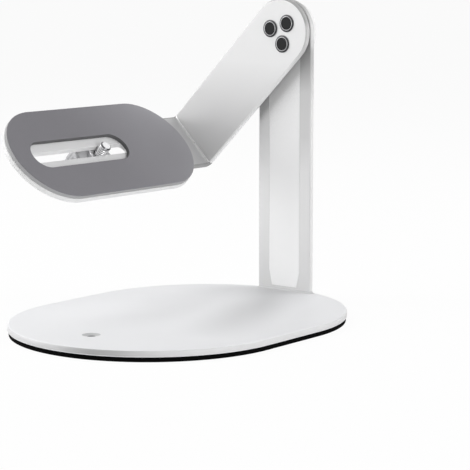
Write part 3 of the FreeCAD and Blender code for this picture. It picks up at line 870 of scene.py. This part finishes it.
def make_arm_and_tray():
    """The sheet with its bolt holes and its slot, painted while it is flat and then folded."""
    level = cut_level(slot_middle)
    half = PLATE_SLOT_LENGTH / 2
    slot = obround(PLATE_SLOT_WIDTH / 2, level - half, level + half)
    pits = bolt_holes(sheet) + [(slot, hole_wall(sheet, FINE_EDGE))]
    bm = plate(sheet_outline(), rounded_edge(sheet, SHEET_EDGE, SHEET_EDGE), pits)
    coats = [arm_coat, arm_edge_coat, crease_steel, tray_coat, neck_coat]
    paint(bm, coats, arm_edge_coat, on_sheet_edge)
    cut_for_fold(bm)
    crease_start = fold_start - HOLDING
    crease_end = fold_start + fold_length * CREASE_SHARE
    neck_end = fold_end + NECK_LENGTH
    # The crease is a bright metal band as a painted highlight; the tray's plate carries painted shade
    paint(bm, coats, crease_steel, lambda middle: on_sheet_front(middle) and -middle.y > crease_start)
    paint(bm, coats, tray_coat, lambda middle: on_sheet_front(middle) and -middle.y > crease_end)
    # The neck's edge is painted dark, as painted shade
    paint(bm, coats, neck_coat, lambda middle: on_sheet_edge(middle) and fold_start < -middle.y < neck_end)
    fold_sheet(bm)
    make_piece("bent_arm_and_tray", bm, arm_frame, "arm", coats, "arm_and_tray")


def make_pad():
    """The pad on the tray, with a slot that is wider than the tray's."""
    half = PAD_SLOT_LENGTH / 2
    slot = obround(PAD_SLOT_WIDTH / 2, -slot_middle - half, half - slot_middle)
    edge = rounded_edge(pad_thickness, PAD_EDGE, FINE_EDGE / 2)
    outline = obround(pad_high.x, pad_low.y, pad_high.y)
    bm = plate(outline, edge, [(slot, hole_wall(pad_thickness, FINE_EDGE))])

    def on_slot_wall(middle):
        across = abs(middle.x) - PAD_SLOT_WIDTH / 2
        along = abs(middle.y + slot_middle) - half
        return FLAT < middle.z < pad_thickness - FLAT and max(across, along) < FINE_EDGE

    coats = [pad_silicone, pad_side, pad_slot_wall]
    # The pad's edge is painted lighter, as painted light
    paint(bm, coats, pad_side, lambda middle: FLAT < middle.z < pad_thickness - PAD_EDGE / 2)
    # The slot's wall is painted darker, as painted shade
    paint(bm, coats, pad_slot_wall, on_slot_wall)
    make_piece("silicone_pad", bm, lifted(arm_frame, pad_low.z), "arm", coats, "tray_pad")


# Hub
def hub_span(node):
    """A hub piece's back and front levels, and its radius."""
    low, high = box_in(node, hub_frame)
    return low.z, high.z, high.x


def make_hub():
    """Two friction washers, the bush between them, and the disc behind."""
    for name, node in [("front_washer", "front_friction_washer"), ("back_washer", "back_friction_washer")]:
        low, high, radius = hub_span(node)
        bm = turned_ring(BUSH_DIAMETER / 2 + BUSH_GAP, radius, low, high)
        make_piece(name, bm, hub_frame, "arm", [washer_nylon], node)
    for name, node, finish, edge in [("steel_bush", "pivot_bush", bright_steel, FINE_EDGE),
                                     ("enamelled_disc", "back_disc", arm_coat, UPRIGHT_EDGE)]:
        low, high, radius = hub_span(node)
        bm = plate(circle(radius), rounded_edge(high - low, FINE_EDGE, edge), bolt_holes(high - low))
        make_piece(name, bm, lifted(hub_frame, low), "arm", [finish], node)


def chamfered_nut(width, height):
    """A hexagon whose corners are turned down at its outer face."""
    corners = [Matrix.Rotation(math.radians(60 * index), 2) @ Vector((width / math.sqrt(3), 0))
               for index in range(6)]
    outline = []
    for start, end in zip(corners, corners[1:] + corners[:1]):
        outline += [start.lerp(end, step / LEAST_STEPS) for step in range(LEAST_STEPS)]
    bm = bmesh.new()
    rings = []
    for level in [*NUT_LEVELS, height]:
        limit = width / 2 * NUT_FACE_SHARE + level * math.sqrt(3)
        rings.append([bm.verts.new((*(point * min(1, limit / point.length)), level)) for point in outline])
    join_rings(bm, rings)
    bm.faces.new(rings[0])
    bm.faces.new(rings[-1])
    return bm


def make_bolt(number):
    """A dark head with a bright rim and a rubber plug, and the nut and threaded end behind the disc."""
    place, cap_back, face, plug = bolt_span("bolt_cap", number)
    tail = bolt_span("bolt", number)[1]
    head = bolt_span("bolt", number)[3]
    nut_back, nut_front = bolt_span("bolt_nut", number)[1:3]
    spot = hub_frame @ Matrix.Translation((place.x * MM, place.y * MM, 0))
    seat = plug + PLUG_GAP
    collar = seat + RIM_WIDTH
    ledge = (arm_front + face) / 2
    profile = [(0, arm_back), (BOLT_DIAMETER / 2, arm_back), (BOLT_DIAMETER / 2, arm_front),
               (head - HEAD_EDGE, arm_front), (head, arm_front + HEAD_EDGE), (head, ledge - HEAD_EDGE),
               (head - LEDGE_EDGE, ledge), (seat, ledge), (seat, cap_back), (0, cap_back)]
    make_piece(f"bolt_head_{number}", turned(profile), spot, "arm", [dark_steel], f"bolt_{number}")
    foot = ledge - RIM_SEAT
    profile = [(collar, foot), (collar, face - RIM_EDGE), (collar - RIM_EDGE, face),
               (seat + RIM_EDGE, face), (seat, face - RIM_EDGE), (seat, foot)]
    make_piece(f"bolt_rim_{number}", turned(profile), spot, "arm", [rim_steel])
    dish = face - PLUG_DISH
    profile = [(0, cap_back), (plug, cap_back), (plug, dish - PLUG_EDGE), (plug - PLUG_EDGE, dish)]
    profile += [(plug * share, dish + rise) for share, rise in PLUG_CROWN]
    make_piece(f"bolt_plug_{number}", turned(profile), spot, "arm", [plug_rubber], f"bolt_cap_{number}")
    bm = chamfered_nut(NUT_WIDTH, nut_front - nut_back)
    make_piece(f"hex_nut_{number}", bm, lifted(spot, nut_back), "arm", [bright_steel], f"bolt_nut_{number}")
    bm = threaded_rod(BOLT_DIAMETER, BOLT_PITCH, 0, arm_back - tail)
    away = lifted(spot, arm_back) @ Matrix.Rotation(math.pi, 4, "X")
    make_piece(f"bolt_end_{number}", bm, away, "arm", [stud_steel])


# Thumb screw, drawn about its own axis from the tray's top
def flute_depth(point):
    """How deep the knob's flutes cut in a direction from its axis."""
    return FLUTE_DEPTH * (0.5 + 0.5 * math.cos(math.atan2(point.y, point.x) * FLUTE_COUNT)) ** 2


def make_thumb_screw():
    """The washer under the tray, the threaded stud, and the fluted knob with its dished underside."""
    low, high = box_in("slide_washer", screw_frame)
    bm = turned_ring(SCREW_DIAMETER / 2 + WASHER_GAP, high.x, low.z, high.z)
    make_piece("spacer_ring", bm, screw_frame, "screw_slider", [bright_steel], "slide_washer")
    low, high = box_in("screw_stud", screw_frame)
    bm = threaded_rod(SCREW_DIAMETER, SCREW_PITCH, low.z, high.z, -sheet, SHANK_DIAMETER)
    make_piece("threaded_stud", bm, screw_frame, "thumb_screw", [stud_steel], "screw_stud")
    low, high = box_in("thumb_knob", screw_frame)
    round_outline = circle(high.x, spacing=KNOB_SPACING)
    outline = [point - point.normalized() * flute_depth(point) for point in round_outline]
    height = high.z - low.z
    dish = [(widening, height - drop) for widening, drop in KNOB_DISH]
    edge = rounded_edge(height, KNOB_EDGE, KNOB_EDGE)
    # Two more rings on the straight part of the edge, where the round collar ends and the flutes start
    straight = ROUND_STEPS + 2
    edge[straight:straight] = [(0, KNOB_COLLAR), (0, KNOB_COLLAR + KNOB_COLLAR_RUN)]
    bm = plate(outline, edge, [(circle(high.x * KNOB_DISH_SHARE), dish)])
    for vertex in bm.verts:
        if vertex.co.z <= KNOB_COLLAR:
            vertex.co.xy += vertex.co.xy.normalized() * flute_depth(vertex.co)
    coats = [knob_side, knob_face]
    # The face towards the tray is painted paler, as painted light, and the sides darker, as painted shade
    paint(bm, coats, knob_face, lambda middle: middle.z < FLAT)
    upturned = lifted(screw_frame, high.z) @ Matrix.Rotation(math.pi, 4, "X")
    make_piece("fluted_knob", bm, upturned, "thumb_screw", coats, "thumb_knob")


make_base()
make_upright()
make_foot_fillet()
make_arm_and_tray()
make_pad()
make_hub()
for bolt_number in bolt_numbers:
    make_bolt(bolt_number)
make_thumb_screw()


# Floor, light and camera, in metres, watts and degrees
FLOOR_HALF = 40.0
FLOOR_WHITENESS = 0.95
STAND_MIDDLE = Vector((0, 0, 0.09))
SENSOR_WIDTH = 36
WHITE = (1, 1, 1, 1)


def make_floor():
    """A pale floor that shows white to the camera and keeps a soft shadow."""
    bm = bmesh.new()
    corners = [(-1, -1), (1, -1), (1, 1), (-1, 1)]
    bm.faces.new([bm.verts.new((x * FLOOR_HALF, y * FLOOR_HALF, 0)) for x, y in corners])
    mesh = bpy.data.meshes.new("pale_floor")
    bm.to_mesh(mesh)
    bm.free()
    finish = Finish("pale_floor")
    finish.set(base_color=(0.94, 0.94, 0.94, 1), roughness=0.9, specular_ior_level=0.0)
    seen = finish.add("ShaderNodeLightPath", output="Is Camera Ray")
    white = finish.add("ShaderNodeEmission", None, {"Color": WHITE, "Strength": 1})
    plain = Signal(finish, finish.shader.outputs[0])
    surface = finish.add("ShaderNodeMixShader", None, {0: seen * FLOOR_WHITENESS, 1: plain, 2: white})
    finish.feed(finish.tree.nodes["Material Output"].inputs["Surface"], surface)
    mesh.materials.append(finish.material)
    floor = bpy.data.objects.new("pale_floor", mesh)
    bpy.context.scene.collection.objects.link(floor)


def light_world(level):
    """White to the camera and in reflections, and a plain even light on the object."""
    world = bpy.data.worlds.new("white_studio")
    bpy.context.scene.world = world
    world.use_nodes = True
    nodes = Nodes(world.node_tree)
    rays = ("Is Camera Ray", "Is Glossy Ray", "Is Transmission Ray")
    camera, mirrored, through = [nodes.add("ShaderNodeLightPath", output=ray) for ray in rays]
    seen = nodes.add("ShaderNodeMath", {"operation": "MAXIMUM"}, {0: camera + mirrored, 1: through})
    background = world.node_tree.nodes["Background"]
    nodes.feed(background.inputs["Color"], WHITE)
    nodes.feed(background.inputs["Strength"], level + seen * (1 - level))


def add_softbox(name, place, side, power):
    """A square lamp that faces the middle of the stand."""
    lamp = bpy.data.lights.new(name, "AREA")
    lamp.shape = "SQUARE"
    lamp.size = side
    lamp.energy = power
    box = bpy.data.objects.new(name, lamp)
    box.location = place
    aim = STAND_MIDDLE - box.location
    box.rotation_euler = aim.to_track_quat("-Z", "Y").to_euler()
    bpy.context.scene.collection.objects.link(box)


def add_camera(place, yaw, pitch, lens):
    """A level camera that looks down by its pitch, turned by its yaw from +Y towards -X."""
    data = bpy.data.cameras.new("camera")
    data.sensor_width = SENSOR_WIDTH
    data.lens = lens
    camera = bpy.data.objects.new("camera", data)
    camera.location = place
    camera.rotation_euler = (math.radians(90 - pitch), 0, math.radians(yaw))
    bpy.context.scene.collection.objects.link(camera)
    bpy.context.scene.camera = camera


make_floor()
light_world(level=0.15)
add_softbox("right_back_key", (0.7, 0.7, 1.0), side=0.8, power=7.0)
add_softbox("left_high_key", (-0.9, -0.15, 0.95), side=0.8, power=8.4)
add_softbox("left_low_fill", (-1.15, -0.6, 0.25), side=0.6, power=5.9)
add_softbox("left_front_fill", (-0.8, -0.9, 0.6), side=0.8, power=3.1)
add_softbox("right_low_fill", (1.2, -0.2, 0.25), side=0.5, power=5.7)
add_softbox("right_front_fill", (0.9, -1.0, 0.2), side=0.5, power=2.3)
add_camera((0.63029, -0.74337, 0.19444), yaw=38.5494, pitch=8.4613, lens=139.467)
bpy.context.scene.view_settings.view_transform = "Standard"
